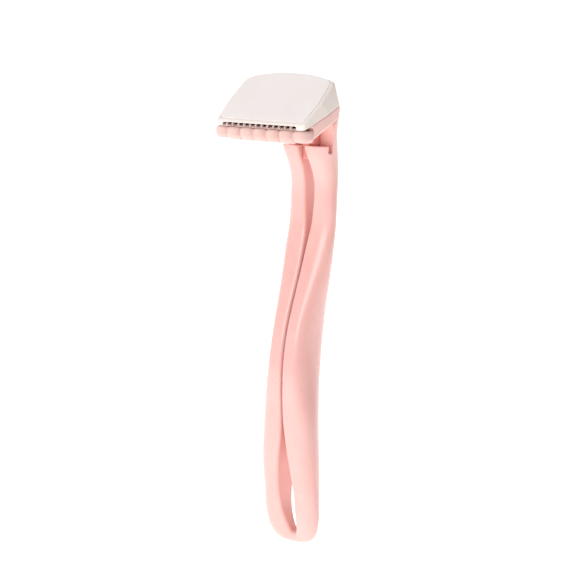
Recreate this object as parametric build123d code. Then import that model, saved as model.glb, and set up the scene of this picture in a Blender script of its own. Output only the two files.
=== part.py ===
from build123d import *
import os
from math import cos, radians, sin, sqrt

# Cartridge razor with a loop handle.
# Millimetres. +X across the head, -Y the blade side, +Z up the handle.
# The origin is the lowest point of the handle loop.

FAR = 60.0                  # past every side of the razor, for solids that only cut

# ---- handle loop -------------------------------------------------------------
SHOULDER_Z = 127.5          # flat tops of the front shoulders
LEG_GAP = 0.3               # half the gap where the legs run side by side
LOOP_THICK = 3.5            # loop thickness at its lowest point

# Right leg, top to bottom: height, inner x, outer x, front y, depth.
LEG_STATIONS = [
    (142.0, 1.50, 10.10, 4.0, 6.2),
    (133.0, 1.50, 10.40, 2.4, 8.2),
    (127.5, 1.50, 10.10, 1.0, 10.2),
    (120.0, 1.80, 9.60, 4.0, 7.5),
    (112.0, 1.90, 9.70, 5.2, 5.4),
    (103.0, 1.20, 9.90, 4.7, 5.1),
    (94.0, 0.50, 9.90, 2.5, 6.5),
    (84.0, LEG_GAP, 9.15, -0.6, 8.9),
    (74.0, LEG_GAP, 8.25, -4.0, 11.4),
    (63.0, LEG_GAP, 8.00, -6.7, 12.8),
    (52.0, LEG_GAP, 8.80, -7.7, 12.2),
    (41.0, LEG_GAP, 10.15, -7.5, 10.4),
    (32.0, 1.30, 10.85, -7.1, 9.2),
    (22.0, 2.75, 11.15, -6.3, 7.8),
    (14.0, 3.05, 11.35, -5.1, 6.1),
]
# Bottom turn: inner x, inner z, outer x, outer z, front y, depth.
TURN_STATIONS = [
    (2.30, 7.9, 10.10, 4.8, -3.7, 4.8),
    (1.45, 4.6, 6.40, 0.95, -2.4, 4.0),
    (0.00, LOOP_THICK, 0.00, 0.0, -1.9, 3.8),
]
CORNER_R = 0.9              # inner wall to front face
WIDEST = 0.40               # share of the depth where a leg is widest
FRONT_FLAT = 0.55           # share of the width that the front face is flat

# ---- neck --------------------------------------------------------------------
PIVOT_Y, PIVOT_Z = 7.1, 138.6
PIN_R = 0.8
PIN_FIT = 0.05              # radial clearance in the rocker's bore
ARM_IN, ARM_OUT = 4.1, 9.3
KNUCKLE_R = 2.9
NOTCH_Y = 4.3
NOTCH_Z = 125.2
ARM_FRONT_Y = 5.9
ARM_LEAN_Z = 131.5
BLOCK_Y0, BLOCK_Y1 = 3.3, 9.9
BLOCK_TOP = 133.0
KEY_HALF, KEY_Z0 = 1.4, 123.0       # key between the legs, under the block
PLUNGER_Y = 4.9
PLUNGER_R = 0.95
PLUNGER_FIT = 0.1
PLUNGER_Z0, PLUNGER_Z1 = 129.9, 136.3
BORE_Z0 = 125.2

# ---- head ------------------------------------------------------------------------
# Two sloping frames, both with u running back and up, and v square to it:
# UNDER lies on the tray's underside, PART on the parting line of tray and cap.
HEAD_Y = -17.4              # front wall of the tray and cap
HEAD_Z0 = 120.0             # a height below the whole head
UNDER_Z, UNDER_SLOPE = 128.6, 31.5
PART_Z, PART_SLOPE = 133.85, 26.7
FACE_U, FACE_V, FACE_SLOPE = 1.0, 1.55, 16.4    # white face, in the PART frame
FLOOR_T = 1.5
WALL_T = 1.4
EDGE_R = 1.0                # rounding where the face turns into the flanks
PANEL_INSET = 1.1
RINSE_XS = (-13.2, -6.6, 0.0, 6.6, 13.2)        # slots through the tray's floor

# ---- guard lobes -----------------------------------------------------------------
LOBE_PITCH = 5.8
LOBE_R = 3.3
LOBE_Y = -15.15
END_LOBE_X = 17.4
END_LOBE_Y = -14.4
END_LOBE_R = 3.5
END_BACK_Y = -13.6
END_IN_X = 14.6
LOBE_Z0, LOBE_Z1 = 129.95, 133.85
GUARD_BACK_Y = -15.9        # back of the bar behind the five middle lobes

# ---- blades, in the PART frame -----------------------------------------------------
BLADE_HALF = 16.3
BLADE_T = 0.12
BLADE_U0, BLADE_U1 = 1.0, 7.25
LOWER_V = 0.25
UPPER_V = 0.71
UPPER_SET_BACK = 0.35
FIN_COUNT = 12
FIN_PITCH = 2.6
FIN_W = 0.5
FIN_U0 = 0.2
FIN_FOOT = 0.2
SLOT_TOP_V = 1.1
STAKE_XS = (-11.0, 0.0, 11.0)
STAKE_R = 0.8
STAKE_U = 4.65
STAKE_TOP_V = 1.45
PANEL_T = 0.8
PANEL_PROUD = 0.15

# ---- rocker and ejector, in the UNDER frame -------------------------------------------
RAIL_U0, RAIL_U1 = 18.2, 21.4
RAIL_NECK, RAIL_HALF = 3.6, 5.0
SLIDE_FIT = 0.15
TOWER_U0, TOWER_U1 = 25.3, 27.4
TOWER_WELL = 1.4
TOWER_TOP_V = 5.0
STEM_V = 2.95
STEM_R = 0.85
WELL_R = 1.9
PUSHER_U = 24.7             # stem's front end, behind the cartridge's rear wall
BUTTON_U0, BUTTON_U1 = 31.2, 32.3


def sloped(z, slope):
    """A frame at the head's front wall, tilted up towards the back."""
    up = (0, -sin(radians(slope)), cos(radians(slope)))
    return Plane(origin=(0, HEAD_Y, z), x_dir=(1, 0, 0), z_dir=up)


UNDER = sloped(UNDER_Z, UNDER_SLOPE)
PART = sloped(PART_Z, PART_SLOPE)
FACE = PART * Pos(0, FACE_U, FACE_V) * Rot(FACE_SLOPE, 0, 0)


def box(x0, x1, y0, y1, z0, z1):
    """A box from its limits."""
    centre = ((x0 + x1) / 2, (y0 + y1) / 2, (z0 + z1) / 2)
    return Pos(*centre) * Box(x1 - x0, y1 - y0, z1 - z0)


def rod(start, direction, radius, length):
    """A cylinder that starts at a point and runs along a direction."""
    return Plane(origin=start, z_dir=direction) * extrude(Circle(radius), length)


def profile_x(points, x0, x1):
    """A polygon in the (second, third) axes, extruded from x0 to x1."""
    loop = Polyline([(0, a, b) for a, b in points], close=True)
    return Pos(x0, 0, 0) * extrude(make_face(loop), x1 - x0, dir=(1, 0, 0))


def coil(start, direction, radius, length, turns, wire):
    """A round-wire compression spring."""
    helix = Helix(pitch=(length - wire) / turns, height=length - wire, radius=radius)
    section = Plane(origin=helix @ 0, z_dir=helix % 0) * Circle(wire / 2)
    spring = sweep(section, path=helix)
    return Plane(origin=start, z_dir=direction).location * Pos(0, 0, wire / 2) * spring


# ---- handle ------------------------------------------------------------------------
def leg_section(inner, outer, front, depth):
    """One section of the band: flat inner wall, nearly flat front, rounded outside."""
    across = Vector(*outer) - Vector(*inner)
    width = across.length
    plane = Plane(origin=inner, x_dir=across, z_dir=across.cross(Vector(0, 1, 0)))
    widest = WIDEST * depth
    flat = FRONT_FLAT * width
    back = 0.45 * width

    def at(a, b):
        return plane.from_local_coords(Vector(a, 0, 0)) + Vector(0, front + b, 0)

    def quarter(start, corner, end):
        """A quarter of an ellipse, tangent to both sides of its corner."""
        return Bezier(at(*start), at(*corner), at(*end), weights=[1, 1 / sqrt(2), 1])

    edges = [
        Line(at(0, depth - CORNER_R), at(0, CORNER_R)),
        quarter((0, CORNER_R), (0, 0), (CORNER_R, 0)),
        Line(at(CORNER_R, 0), at(flat, 0)),
        quarter((flat, 0), (width, 0), (width, widest)),
        quarter((width, widest), (width, depth), (back, depth)),
        Line(at(back, depth), at(CORNER_R, depth)),
        quarter((CORNER_R, depth), (0, depth), (0, depth - CORNER_R)),
    ]
    return make_face(Wire(edges))


def above_knuckle():
    """What is cut off above the pivot, so that an arm ends in a round knuckle."""
    block = box(-1, FAR, -FAR, FAR, PIVOT_Z, PIVOT_Z + FAR)
    return block - rod((-1, PIVOT_Y, PIVOT_Z), (1, 0, 0), KNUCKLE_R, FAR)


def in_front_of_arm():
    """What is cut off above the shoulder, so that the arm leans forward to the knuckle."""
    front = PIVOT_Y - KNUCKLE_R
    top = PIVOT_Z + FAR
    edge = [(-FAR, SHOULDER_Z), (ARM_FRONT_Y, SHOULDER_Z), (ARM_FRONT_Y, ARM_LEAN_Z),
            (front, PIVOT_Z), (front, top), (-FAR, top)]
    return profile_x(edge, -1, FAR)


def half_handle():
    """The right leg with its shoulder and arm, and half of the bottom turn."""
    sections = [
        leg_section((x0, 0, z), (x1, 0, z), front, depth)
        for z, x0, x1, front, depth in LEG_STATIONS
    ]
    sections += [
        leg_section((x0, 0, z0), (x1, 0, z1), front, depth)
        for x0, z0, x1, z1, front, depth in TURN_STATIONS
    ]
    leg = loft(sections)
    leg -= box(-1, ARM_IN, -FAR, FAR, SHOULDER_Z, PIVOT_Z + FAR)
    leg -= in_front_of_arm()
    leg -= box(-1, FAR, NOTCH_Y, ARM_FRONT_Y, NOTCH_Z, SHOULDER_Z + 1)
    return leg - above_knuckle()


def handle_loop():
    """The whole band, with the pin bores."""
    right = half_handle()
    loop = right + mirror(right, about=Plane.YZ)
    return loop - rod((-FAR, PIVOT_Y, PIVOT_Z), (1, 0, 0), PIN_R, 2 * FAR)


def neck_block():
    """Spacer between the arms, with the plunger's bore and a key between the legs."""
    block = box(-ARM_IN, ARM_IN, BLOCK_Y0, BLOCK_Y1, SHOULDER_Z, BLOCK_TOP)
    block = chamfer(block.edges().filter_by(Axis.X), 0.5)
    block += box(-KEY_HALF, KEY_HALF, BLOCK_Y0 + 0.4, BLOCK_Y1 - 0.7, KEY_Z0, SHOULDER_Z)
    block -= rod((0, PLUNGER_Y, BORE_Z0), (0, 0, 1), PLUNGER_R + PLUNGER_FIT, FAR)
    return block


def pivot_pin():
    """Steel cross pin, pressed into both arms."""
    end = ARM_OUT - 0.3
    pin = rod((-end, PIVOT_Y, PIVOT_Z), (1, 0, 0), PIN_R, 2 * end)
    return chamfer(pin.edges().filter_by(GeomType.CIRCLE), 0.15)


def plunger():
    """Round-nosed return plunger."""
    body = rod((0, PLUNGER_Y, PLUNGER_Z0), (0, 0, 1), PLUNGER_R, PLUNGER_Z1 - PLUNGER_Z0)
    return fillet(body.edges().sort_by(Axis.Z)[-1], PLUNGER_R - 0.2)


def plunger_spring():
    """Spring below the plunger."""
    return coil((0, PLUNGER_Y, BORE_Z0), (0, 0, 1), 0.75, PLUNGER_Z0 - BORE_Z0, 7, 0.25)


# ---- head outlines -----------------------------------------------------------------
def outline(front, half_front, side, half_side, corner, half_rear, rear, r_front, r_rear):
    """Outline of the head seen square on, symmetric in x."""
    right = [(half_front, front), (half_side, side), (half_rear, corner)]
    left = [(-x, y) for x, y in reversed(right)]
    edges = [
        Line(left[-1], right[0]),
        Line(right[0], right[1]),
        Line(right[1], right[2]),
        ThreePointArc(right[2], (0, rear), left[0]),
        Line(left[0], left[1]),
        Line(left[1], left[2]),
    ]
    face = make_face(edges)
    face = fillet(face.vertices().sort_by(Axis.Y)[:2], r_front)
    rear_corners = [v for v in face.vertices() if abs(abs(v.X) - half_rear) < 0.01 and v.Y > side]
    return fillet(rear_corners, r_rear)


def rim_outline(shrink=0.0, stretch=1.0):
    """The head's outline from above, from its front wall back."""
    return outline(shrink, 20.3 - shrink, 9.8 * stretch, 21.4 - shrink,
                   15.6 * stretch, 21.3 - shrink, 19.1 * stretch - shrink, 1.7, 2.8)


def face_outline(shrink=0.0):
    """Outline of the white face, on its own plane."""
    return outline(shrink, 19.6 - shrink, 10.0, 20.7 - shrink, 20.6 - shrink,
                   19.5 - shrink, 23.2 - shrink, 1.6, 4.0)


def tray_body():
    """The tray's outside: upright walls between the underside and the parting line."""
    upright = Pos(0, HEAD_Y, HEAD_Z0) * extrude(rim_outline(), FAR)
    above = PART.location * box(-FAR, FAR, -FAR, FAR, 0, FAR)
    below = UNDER.location * box(-FAR, FAR, -FAR, FAR, -FAR, 0)
    body = upright - above - below
    return fillet(body.faces().sort_by(Axis.Z)[0].edges(), 0.6)


def cap_body(shrink=0.0):
    """The cap's outside, from the parting line to the face."""
    low = PART * rim_outline(shrink, 1 / cos(radians(PART_SLOPE)))
    high = FACE * face_outline(shrink)
    body = loft([low, high], ruled=True)
    return fillet(body.faces().sort_by(FACE.z_axis)[-1].edges(), EDGE_R)


# ---- cartridge -----------------------------------------------------------------------
def lobe(x, y, radius):
    """One rounded lobe, standing on its own axis."""
    body = rod((x, y, LOBE_Z0), (0, 0, 1), radius, LOBE_Z1 - LOBE_Z0)
    body = fillet(body.edges().sort_by(Axis.Z)[-1], 0.9)
    return fillet(body.edges().sort_by(Axis.Z)[0], 1.7)


def guard_room():
    """The space in front of the tray that the guard bar fills."""
    room = box(-FAR, FAR, -FAR, GUARD_BACK_Y, HEAD_Z0, LOBE_Z1 + 1)
    for side in (-1, 1):
        x0, x1 = sorted((side * END_IN_X, side * FAR))
        room += box(x0, x1, -FAR, END_BACK_Y, HEAD_Z0, LOBE_Z1 + 1)
    return room


def guard_bar():
    """Seven lobes in a row, the end ones larger and wrapped round the corners."""
    lobes = [lobe(i * LOBE_PITCH, LOBE_Y, LOBE_R) for i in (-2, -1, 0, 1, 2)]
    lobes += [lobe(side * END_LOBE_X, END_LOBE_Y, END_LOBE_R) for side in (-1, 1)]
    bar = lobes[0]
    for each in lobes[1:]:
        bar += each
    return bar & guard_room()


def cartridge_tray():
    """Pink tray: floor, rim, rinse slots and the socket for the rocker's rail."""
    body = tray_body()
    inner = outline(2.4, 17.6, 9.8, 19.8, 14.6, 19.6, 17.4, 1.0, 2.0)
    pocket = above_floor(Pos(0, HEAD_Y, HEAD_Z0) * extrude(inner, FAR))
    boss = UNDER.location * box(-8, 8, RAIL_U0 - 1.6, RAIL_U1 + 0.1, 0.2, 10)
    tray = body - pocket + (body & boss)
    for half, v0, v1 in ((RAIL_NECK, -1, 1.0), (RAIL_HALF, 0.75, 2.05)):
        half += SLIDE_FIT
        tray -= UNDER.location * box(-half, half, RAIL_U0 - 0.3, FAR, v0, v1)
    for x in RINSE_XS:
        tray -= UNDER.location * box(x - 1.8, x + 1.8, 11.2, 14.2, -1, FLOOR_T + 1)
    return tray - guard_room()


def stakes(fit, v0=-FAR, v1=FAR):
    """The stake pins' room through the blade stack."""
    pins = [rod((x, STAKE_U, v0), (0, 0, 1), STAKE_R + fit, v1 - v0) for x in STAKE_XS]
    return pins[0] + pins[1] + pins[2]


def above_floor(shape):
    """What is left of a shape above the tray's floor."""
    return shape - UNDER.location * box(-FAR, FAR, -FAR, FAR, -FAR, FLOOR_T)


def blade_seat():
    """Ledge on the tray's floor that carries the blades."""
    seat = box(-16.8, 16.8, BLADE_U0 + 0.1, BLADE_U1, -8, LOWER_V) - stakes(0)
    seat = above_floor(PART.location * seat) - cartridge_tray()
    return seat - (guard_room() & box(-FAR, FAR, -FAR, 0, HEAD_Z0, LOBE_Z1))


def blade(v, set_back):
    """One ground strip with a two-sided edge."""
    u0 = BLADE_U0 + set_back
    ground = u0 + 0.5
    strip = profile_x(
        [(u0, v + BLADE_T / 2), (ground, v), (BLADE_U1, v), (BLADE_U1, v + BLADE_T),
         (ground, v + BLADE_T)],
        -BLADE_HALF, BLADE_HALF,
    )
    return PART.location * (strip - stakes(0.05))


def blade_spacer():
    """Strip between the two blades."""
    spacer = box(-16, 16, BLADE_U0 + 1.6, BLADE_U1, LOWER_V + BLADE_T, UPPER_V)
    return PART.location * (spacer - stakes(0.05))


def fin_comb():
    """Twelve fins on a thin foot, across the blade slot."""
    u1 = BLADE_U0 - 0.05
    comb = box(-BLADE_HALF, BLADE_HALF, FIN_U0, u1, 0, FIN_FOOT)
    for i in range(FIN_COUNT):
        x = (i - (FIN_COUNT - 1) / 2) * FIN_PITCH
        comb += box(x - FIN_W / 2, x + FIN_W / 2, FIN_U0, u1, FIN_FOOT / 2, SLOT_TOP_V)
    return PART.location * comb


def panel_body(proud):
    """The face panel's solid, from its seat to a height over the face."""
    return FACE * Pos(0, 0, -PANEL_T) * extrude(face_outline(PANEL_INSET), PANEL_T + proud)


def cap_cover():
    """White shell: blade slot at the front, hollow behind, recess for the panel."""
    behind_blades = PART.location * box(-FAR, FAR, BLADE_U1 + 1, FAR, -1, FAR)
    cap = cap_body() - (cap_body(WALL_T) & behind_blades)
    cap -= PART.location * box(-BLADE_HALF, BLADE_HALF, -5, 2.5, -1, SLOT_TOP_V)
    cap -= PART.location * box(-16.9, 16.9, 0.6, BLADE_U1 + 0.1, -1, UPPER_V + BLADE_T)
    cap -= PART.location * stakes(0, -1, STAKE_TOP_V)
    return cap - panel_body(0)


def glide_panel():
    """Smooth white panel let into the face."""
    panel = panel_body(PANEL_PROUD)
    top = panel.faces().sort_by(Axis.Z)[-1]
    return chamfer(top.edges(), PANEL_PROUD)


def stake_pins():
    """Three pins through the blade stack, into the cap."""
    return above_floor(PART.location * stakes(0, -8, STAKE_TOP_V))


# ---- rocker and ejector -----------------------------------------------------------------
def head_carrier():
    """Rocker: hub on the pin, plate and rail under the tray, tower for the ejector."""
    pivot = UNDER.to_local_coords(Vector(0, PIVOT_Y, PIVOT_Z))
    pu, pv = pivot.Y, pivot.Z
    half = ARM_IN - 0.3
    body = rod((-half, pu, pv), (1, 0, 0), 2.6, 2 * half)
    body += box(-7, 7, 14.5, RAIL_U1, -1.8, -0.3)
    web = [(20.5, -1.8), (20.5, -0.3), (TOWER_U1, -0.3), (pu + 2.5, pv),
           (pu, pv - 1.0), (pu - 2.4, pv + 0.5)]
    body += profile_x(web, -half, half)
    body += box(-3.2, 3.2, TOWER_U0, TOWER_U1, -2.0, TOWER_TOP_V)
    body += box(-RAIL_NECK, RAIL_NECK, RAIL_U0, RAIL_U1, -0.4, 0.95)
    body += box(-RAIL_HALF, RAIL_HALF, RAIL_U0, RAIL_U1, 0.9, 1.9)
    body -= rod((0, TOWER_U0 - 1, STEM_V), (0, 1, 0), STEM_R + PIN_FIT, 10)
    body -= rod((0, TOWER_U1 - TOWER_WELL, STEM_V), (0, 1, 0), WELL_R, 5)
    heel = box(-2.4, 2.4, PLUNGER_Y - 1.4, PIVOT_Y, PLUNGER_Z1 + 0.1, PIVOT_Z)
    body = UNDER.location * body + heel
    return body - rod((-FAR, PIVOT_Y, PIVOT_Z), (1, 0, 0), PIN_R + PIN_FIT, 2 * FAR)


def eject_button():
    """Thumb button on a stem, whose front end pushes the cartridge off."""
    head = box(-2.4, 2.4, BUTTON_U0, BUTTON_U1, STEM_V - 2.2, STEM_V + 1.7)
    head = fillet(head.edges().filter_by(Axis.Y), 1.0)
    stem = rod((0, PUSHER_U, STEM_V), (0, 1, 0), STEM_R, BUTTON_U0 - PUSHER_U + 0.2)
    return UNDER.location * (head + stem)


def button_spring():
    """Return spring round the stem."""
    start = TOWER_U1 - TOWER_WELL
    spring = coil((0, start, STEM_V), (0, 1, 0), 1.4, BUTTON_U0 - start, 4, 0.3)
    return UNDER.location * spring


NODES = [
    handle_loop, neck_block, pivot_pin, plunger, plunger_spring, head_carrier, eject_button,
    button_spring, cartridge_tray, guard_bar, blade_seat, blade_spacer, fin_comb, cap_cover,
    glide_panel, stake_pins,
]

os.makedirs("parts", exist_ok=True)
for make in NODES:
    export_step(make(), f"parts/{make.__name__}.step")
export_step(blade(LOWER_V, 0.0), "parts/lower_blade.step")
export_step(blade(UPPER_V, UPPER_SET_BACK), "parts/upper_blade.step")
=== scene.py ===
from math import cos, radians, sin

import bmesh
import bpy
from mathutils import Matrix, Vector


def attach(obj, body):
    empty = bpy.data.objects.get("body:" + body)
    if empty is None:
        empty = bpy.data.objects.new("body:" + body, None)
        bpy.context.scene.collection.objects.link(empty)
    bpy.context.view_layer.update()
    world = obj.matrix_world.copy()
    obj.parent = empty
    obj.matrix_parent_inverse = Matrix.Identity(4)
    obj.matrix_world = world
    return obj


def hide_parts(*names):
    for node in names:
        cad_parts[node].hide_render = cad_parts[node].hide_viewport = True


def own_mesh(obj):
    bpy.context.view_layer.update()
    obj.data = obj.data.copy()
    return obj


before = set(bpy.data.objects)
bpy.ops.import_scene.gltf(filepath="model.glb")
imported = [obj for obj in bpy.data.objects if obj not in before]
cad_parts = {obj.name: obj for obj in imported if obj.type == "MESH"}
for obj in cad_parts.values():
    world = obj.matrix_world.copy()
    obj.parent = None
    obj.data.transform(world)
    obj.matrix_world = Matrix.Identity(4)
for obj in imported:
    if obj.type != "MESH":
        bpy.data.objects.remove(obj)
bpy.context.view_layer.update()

# Loop-handled cartridge razor. Metres. +X across the head, -Y the blade side, +Z up the handle.
MM = 0.001

# ---- view ----------------------------------------------------------------------
AZIMUTH, ELEVATION = 45.0, 6.0
TARGET = Vector((-4.5, 0.2, 81.6)) * MM
DISTANCE = 1.5
VIEW_WIDTH = 184.3 * MM
SENSOR = 36.0

# ---- light ---------------------------------------------------------------------
KEY_WATTS, FILL_WATTS, TOP_WATTS = 13.0, 1.5, 6.5
LIGHT_AIM = Vector((0, 0, 0.09))    # a point in the upper handle, in metres
AIR_STRENGTH = 0.2
PAPER_GLOW = 0.85

# ---- colours ---------------------------------------------------------------------
# Each moulded plastic drifts between its main colour and a slightly deeper one.
HANDLE_PINK, HANDLE_DEEP = "#f3c0b9", "#f0b6ae"
TRAY_PINK, TRAY_DEEP = "#f6cdc5", "#f1c5bc"
GUARD_PINK, GUARD_DEEP = "#e6c0b8", "#e2b9b0"
CAP_WHITE, CAP_DEEP = "#f4e9e2", "#f0e4dc"
PANEL_WHITE, PANEL_DEEP = "#f4ecea", "#f1e8e5"
# Painted shade: the fin tones are darkened to stand in for the shadow in the blade slot.
FIN_PALE, FIN_DEEP = "#d9bfb8", "#d3b7af"
# Painted shade: the inner pinks stand in for the shadow between the arms under the head.
INNER_PINK, INNER_DEEP = "#e89c94", "#e5958c"
ACETAL_WHITE, ACETAL_DEEP = "#efe9e2", "#ebe4dc"
# Painted shade: the blades' near-black stands in for the shadow inside the blade slot.
BLADE_SLOT_SHADE = "#3a3534"
STEEL_GREY = "#b9bbbd"
PAPER_WHITE = "#f4f3f2"
LIGHT_WHITE = "#ffffff"

# ---- surface detail --------------------------------------------------------------
PLASTIC_IOR = 1.54
COAT_ROUGHNESS = 0.22
DRIFT_MM = 14.0             # size of the slow changes of tint
GLOSS_SPREAD = 0.15         # how far the grain moves the roughness, as a share
SCATTER_RADIUS = (4.0, 1.6, 1.3)    # in mm: red light travels furthest in pink plastic
LINE_STRETCH = (0.05, 1.0, 1.0)     # drawn and ground lines run along x
LINE_BRIGHTEN = 1.35
PAPER_FIBRES_PER_M = 400.0


def linear(hex_colour, alpha=1.0):
    """An sRGB hex value as linear RGBA."""
    parts = [int(hex_colour[i:i + 2], 16) / 255 for i in (1, 3, 5)]
    parts = [c / 12.92 if c <= 0.04045 else ((c + 0.055) / 1.055) ** 2.4 for c in parts]
    return (*parts, alpha)


def add_node(tree, kind, inputs=None, **settings):
    """Adds a node, with its settings, plain input values and links."""
    node = tree.nodes.new(kind)
    for name, value in settings.items():
        setattr(node, name, value)
    for name, value in (inputs or {}).items():
        if isinstance(value, bpy.types.NodeSocket):
            tree.links.new(value, node.inputs[name])
        else:
            node.inputs[name].default_value = value
    return node


def new_material(name):
    """An empty node material with its shader linked to the output."""
    material = bpy.data.materials.new(name)
    material.use_nodes = True
    tree = material.node_tree
    tree.nodes.clear()
    shader = add_node(tree, "ShaderNodeBsdfPrincipled")
    add_node(tree, "ShaderNodeOutputMaterial", {"Surface": shader.outputs[0]})
    return material, tree, shader


def moulded_plastic(name, colour, deep, rough, grain_mm, bump_mm, scatter=0.0, coat=0.0):
    """Injection-moulded plastic: a slow drift of tint and a fine mould grain."""
    material, tree, shader = new_material(name)
    place = add_node(tree, "ShaderNodeTexCoord").outputs["Object"]
    drift = add_node(tree, "ShaderNodeTexNoise",
                     {"Vector": place, "Scale": 1 / (DRIFT_MM * MM), "Detail": 2.0, "Roughness": 0.5})
    tint = add_node(tree, "ShaderNodeValToRGB", {"Fac": drift.outputs[0]})
    tint.color_ramp.elements[0].position = 0.3
    tint.color_ramp.elements[0].color = linear(deep)
    tint.color_ramp.elements[1].position = 0.7
    tint.color_ramp.elements[1].color = linear(colour)
    tree.links.new(tint.outputs[0], shader.inputs["Base Color"])
    grain = add_node(tree, "ShaderNodeTexNoise",
                     {"Vector": place, "Scale": 1 / (grain_mm * MM), "Detail": 3.0, "Roughness": 0.6})
    gloss = add_node(tree, "ShaderNodeMapRange",
                     {"Value": grain.outputs[0], "From Min": 0.3, "From Max": 0.7,
                      "To Min": rough * (1 - GLOSS_SPREAD), "To Max": rough * (1 + GLOSS_SPREAD)})
    tree.links.new(gloss.outputs[0], shader.inputs["Roughness"])
    bump = add_node(tree, "ShaderNodeBump",
                    {"Height": grain.outputs[0], "Strength": 0.5, "Distance": bump_mm * MM})
    tree.links.new(bump.outputs[0], shader.inputs["Normal"])
    shader.inputs["IOR"].default_value = PLASTIC_IOR
    shader.inputs["Coat Weight"].default_value = coat
    shader.inputs["Coat Roughness"].default_value = COAT_ROUGHNESS
    if scatter:
        shader.inputs["Subsurface Weight"].default_value = scatter
        shader.inputs["Subsurface Radius"].default_value = SCATTER_RADIUS
        shader.inputs["Subsurface Scale"].default_value = MM
    return material


def steel(name, colour, rough, line_mm):
    """Ground or drawn steel: fine lines along the work."""
    material, tree, shader = new_material(name)
    place = add_node(tree, "ShaderNodeTexCoord").outputs["Object"]
    stretch = add_node(tree, "ShaderNodeMapping",
                       {"Vector": place, "Scale": LINE_STRETCH})
    lines = add_node(tree, "ShaderNodeTexNoise",
                     {"Vector": stretch.outputs[0], "Scale": 1 / (line_mm * MM), "Detail": 2.0})
    tint = add_node(tree, "ShaderNodeValToRGB", {"Fac": lines.outputs[0]})
    tint.color_ramp.elements[0].color = linear(colour)
    bright = [min(1.0, c * LINE_BRIGHTEN) for c in linear(colour)[:3]]
    tint.color_ramp.elements[1].color = (*bright, 1.0)
    tree.links.new(tint.outputs[0], shader.inputs["Base Color"])
    gloss = add_node(tree, "ShaderNodeMapRange",
                     {"Value": lines.outputs[0], "To Min": rough * 0.8, "To Max": rough * 1.2})
    tree.links.new(gloss.outputs[0], shader.inputs["Roughness"])
    shader.inputs["Metallic"].default_value = 1.0
    return material


# Glossy clear-pink styrene: wet highlights along the edges and a faint inner glow.
handle_san = moulded_plastic("pink_san_moulded_glossy", HANDLE_PINK, HANDLE_DEEP, 0.3, 0.6, 0.0008,
                             scatter=0.12, coat=0.5)
# Pale pink tray plastic: soft satin sheen.
tray_abs = moulded_plastic("pale_pink_abs_moulded", TRAY_PINK, TRAY_DEEP, 0.38, 0.5, 0.001, scatter=0.12)
# Soft rubber lobes: broad dull highlights.
guard_tpe = moulded_plastic("pink_tpe_overmoulded", GUARD_PINK, GUARD_DEEP, 0.45, 0.4, 0.001, scatter=0.12)
# Warm white cap: even satin, with no sharp reflection.
cap_pp = moulded_plastic("white_polypropylene_satin", CAP_WHITE, CAP_DEEP, 0.42, 0.4, 0.0015)
# Pressed glide panel: flatter and duller than the cap round it.
panel_peo = moulded_plastic("white_glide_strip_pressed", PANEL_WHITE, PANEL_DEEP, 0.5, 0.35, 0.0015)
# Fins: pale ticks against the dark blade slot, toned darker as painted shade.
fin_abs_painted_shade = moulded_plastic("pale_abs_fins_painted_shade", FIN_PALE, FIN_DEEP, 0.4, 0.4, 0.001)
# Inner parts: deep coral pink as painted shade, standing in for the shadow between the arms under the
# head.
inner_abs_painted_shade = moulded_plastic("pink_abs_inner_painted_shade", INNER_PINK, INNER_DEEP, 0.4, 0.5, 0.004, scatter=0.2)
# Uncoloured acetal: milky off-white.
acetal = moulded_plastic("natural_acetal", ACETAL_WHITE, ACETAL_DEEP, 0.4, 0.5, 0.004)
# Blades and spacer: steel painted near-black as the shadow inside the blade slot, so the slot reads as a
# dark line.
slot_shade_blade_steel = steel("blade_steel_painted_slot_shade", BLADE_SLOT_SHADE, 0.35, 0.2)
# Drawn wire and pins: bright grey with fine lines.
pin_steel = steel("drawn_stainless_wire", STEEL_GREY, 0.25, 0.1)

FINISH = {
    "handle_loop": handle_san,
    "neck_block": inner_abs_painted_shade,
    "head_carrier": inner_abs_painted_shade,
    "cartridge_tray": tray_abs,
    "blade_seat": tray_abs,
    "guard_bar": guard_tpe,
    "cap_cover": cap_pp,
    "glide_panel": panel_peo,
    "fin_comb": fin_abs_painted_shade,
    "plunger": acetal,
    "eject_button": acetal,
    "stake_pins": acetal,
    "lower_blade": slot_shade_blade_steel,
    "upper_blade": slot_shade_blade_steel,
    "blade_spacer": slot_shade_blade_steel,
    "pivot_pin": pin_steel,
    "plunger_spring": pin_steel,
    "button_spring": pin_steel,
}
for node, finish in FINISH.items():
    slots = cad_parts[node].data.materials
    if slots:
        slots[0] = finish
    else:
        slots.append(finish)


# ---- moulded shapes -----------------------------------------------------------------
WELD_MM = 0.002
SMOOTH_FACTOR = 0.5


def moulded_copy(node, body, name, cell_mm, passes, finish):
    """The CAD node's shape on an even grid, with its edges softened as a mould leaves them."""
    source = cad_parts[node]
    mesh = source.data.copy()
    piece = bpy.data.objects.new(name, mesh)
    bpy.context.collection.objects.link(piece)
    weld = bmesh.new()
    weld.from_mesh(mesh)
    bmesh.ops.remove_doubles(weld, verts=weld.verts, dist=WELD_MM * MM)
    weld.to_mesh(mesh)
    weld.free()
    grid = piece.modifiers.new("even_grid", "REMESH")
    grid.mode = "VOXEL"
    grid.voxel_size = cell_mm * MM
    grid.use_smooth_shade = True
    soften = piece.modifiers.new("soft_edges", "SMOOTH")
    soften.factor = SMOOTH_FACTOR
    soften.iterations = passes
    bpy.context.view_layer.update()
    shaped = piece.evaluated_get(bpy.context.evaluated_depsgraph_get())
    made = bpy.data.meshes.new_from_object(shaped)
    piece.modifiers.clear()
    piece.data = made
    made.name = name
    made.materials.clear()
    made.materials.append(finish)
    for face in made.polygons:
        face.use_smooth = True
        face.material_index = 0
    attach(piece, body)
    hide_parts(node)
    return piece


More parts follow.
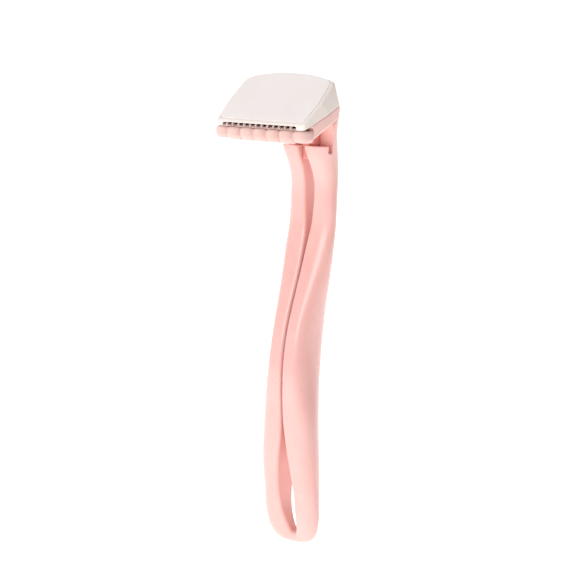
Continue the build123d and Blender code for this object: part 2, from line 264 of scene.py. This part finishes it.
# Name, CAD node, body, material slot, grid cell in mm, softening passes, finish.
SOFT_PIECES = [
    ("loop_handle", "handle_loop", "handle", "handle_pink", 0.25, 6, handle_san),
    ("white_cap_shell", "cap_cover", "cartridge", "cap_white", 0.2, 5, cap_pp),
    ("white_face_panel", "glide_panel", "cartridge", "panel_white", 0.2, 5, panel_peo),
    ("blade_cartridge_tray", "cartridge_tray", "cartridge", "tray_pink", 0.2, 5, tray_abs),
    ("lobed_guard", "guard_bar", "cartridge", "guard_pink", 0.15, 14, guard_tpe),
    ("arm_spacer_block", "neck_block", "handle", "inner_pink", 0.2, 4, inner_abs_painted_shade),
    ("head_rocker", "head_carrier", "rocker", "inner_pink", 0.15, 3, inner_abs_painted_shade),
    ("release_button", "eject_button", "button", "acetal_white", 0.12, 5, acetal),
]
for name, node, body, slot, cell_mm, passes, finish in SOFT_PIECES:
    moulded_copy(node, body, name, cell_mm, passes, finish)


def pressed_spring(node, name, body):
    """A coil spring: a copy of its CAD mesh, riding on its body."""
    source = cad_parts[node]
    piece = bpy.data.objects.new(name, source.data.copy())
    bpy.context.collection.objects.link(piece)
    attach(piece, body)
    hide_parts(node)
    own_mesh(piece)


# Each spring: CAD node, name and body. The button's lies along the rail.
pressed_spring("plunger_spring", "plunger_coil_spring", "handle")
pressed_spring("button_spring", "button_coil_spring", "rocker")


# ---- studio -------------------------------------------------------------------------
def studio_sweep():
    """Pale floor that curves up into a back wall, far behind the razor."""
    mesh = bpy.data.meshes.new("studio_sweep")
    bend, floor_front, wall_at, wall_top, half = 1.6, 2.2, 2.2, 4.5, 5.0
    line = [(-floor_front, 0.0)]
    for angle in range(0, 91, 6):
        turn = radians(angle)
        line.append((wall_at + bend * sin(turn), bend * (1 - cos(turn))))
    line.append((wall_at + bend, wall_top))
    sheet = bmesh.new()
    rows = []
    for along, up in line:
        rows.append([sheet.verts.new((side, along, up)) for side in (-half, half)])
    for near, far in zip(rows, rows[1:]):
        sheet.faces.new((near[0], near[1], far[1], far[0]))
    sheet.to_mesh(mesh)
    sheet.free()
    sweep = bpy.data.objects.new("studio_sweep", mesh)
    bpy.context.collection.objects.link(sweep)
    for face in mesh.polygons:
        face.use_smooth = True
    sweep.rotation_euler = (0, 0, radians(AZIMUTH))
    mesh.materials.append(studio_paper())


def studio_paper():
    """White seamless paper that glows evenly, so that the background stays plain."""
    material, tree, shader = new_material("white_seamless_paper")
    place = add_node(tree, "ShaderNodeTexCoord").outputs["Object"]
    fibre = add_node(tree, "ShaderNodeTexNoise",
                     {"Vector": place, "Scale": PAPER_FIBRES_PER_M, "Detail": 2.0})
    gloss = add_node(tree, "ShaderNodeMapRange",
                     {"Value": fibre.outputs[0], "To Min": 0.85, "To Max": 0.95})
    tree.links.new(gloss.outputs[0], shader.inputs["Roughness"])
    shader.inputs["Base Color"].default_value = linear(PAPER_WHITE)
    shader.inputs["Emission Color"].default_value = linear(LIGHT_WHITE)
    shader.inputs["Emission Strength"].default_value = PAPER_GLOW
    return material


def direction(azimuth, elevation):
    """Unit vector from the razor towards a place round it; azimuth 0 is in front."""
    turn, rise = radians(azimuth), radians(elevation)
    return Vector((sin(turn) * cos(rise), -cos(turn) * cos(rise), sin(rise)))


def soft_light(name, azimuth, elevation, distance, size, watts):
    """A square soft box that faces the upper handle."""
    data = bpy.data.lights.new(name, "AREA")
    data.size = size
    data.energy = watts
    data.color = linear(LIGHT_WHITE)[:3]
    lamp = bpy.data.objects.new(name, data)
    away = direction(azimuth, elevation)
    lamp.location = LIGHT_AIM + away * distance
    lamp.rotation_euler = (-away).to_track_quat("-Z", "Y").to_euler()
    bpy.context.collection.objects.link(lamp)


def camera():
    """Long-lens camera, front right, a little above the head."""
    data = bpy.data.cameras.new("camera")
    data.sensor_width = SENSOR
    data.lens = SENSOR * DISTANCE / VIEW_WIDTH
    data.clip_end = 20          # metres, past the back wall
    eye = bpy.data.objects.new("camera", data)
    away = direction(AZIMUTH, ELEVATION)
    eye.location = TARGET + away * DISTANCE
    eye.rotation_euler = (-away).to_track_quat("-Z", "Y").to_euler()
    bpy.context.collection.objects.link(eye)
    bpy.context.scene.camera = eye


studio_sweep()
soft_light("key_soft_box", -15, 30, 1.6, 1.1, KEY_WATTS)
soft_light("fill_soft_box", 95, 25, 1.8, 1.2, FILL_WATTS)
soft_light("top_soft_box", 30, 80, 1.6, 1.3, TOP_WATTS)
world = bpy.data.worlds.new("studio_air")
bpy.context.scene.world = world
world.use_nodes = True
air = world.node_tree.nodes["Background"]
air.inputs[0].default_value = linear(LIGHT_WHITE)
air.inputs[1].default_value = AIR_STRENGTH
bpy.context.scene.view_settings.view_transform = "Standard"
camera()
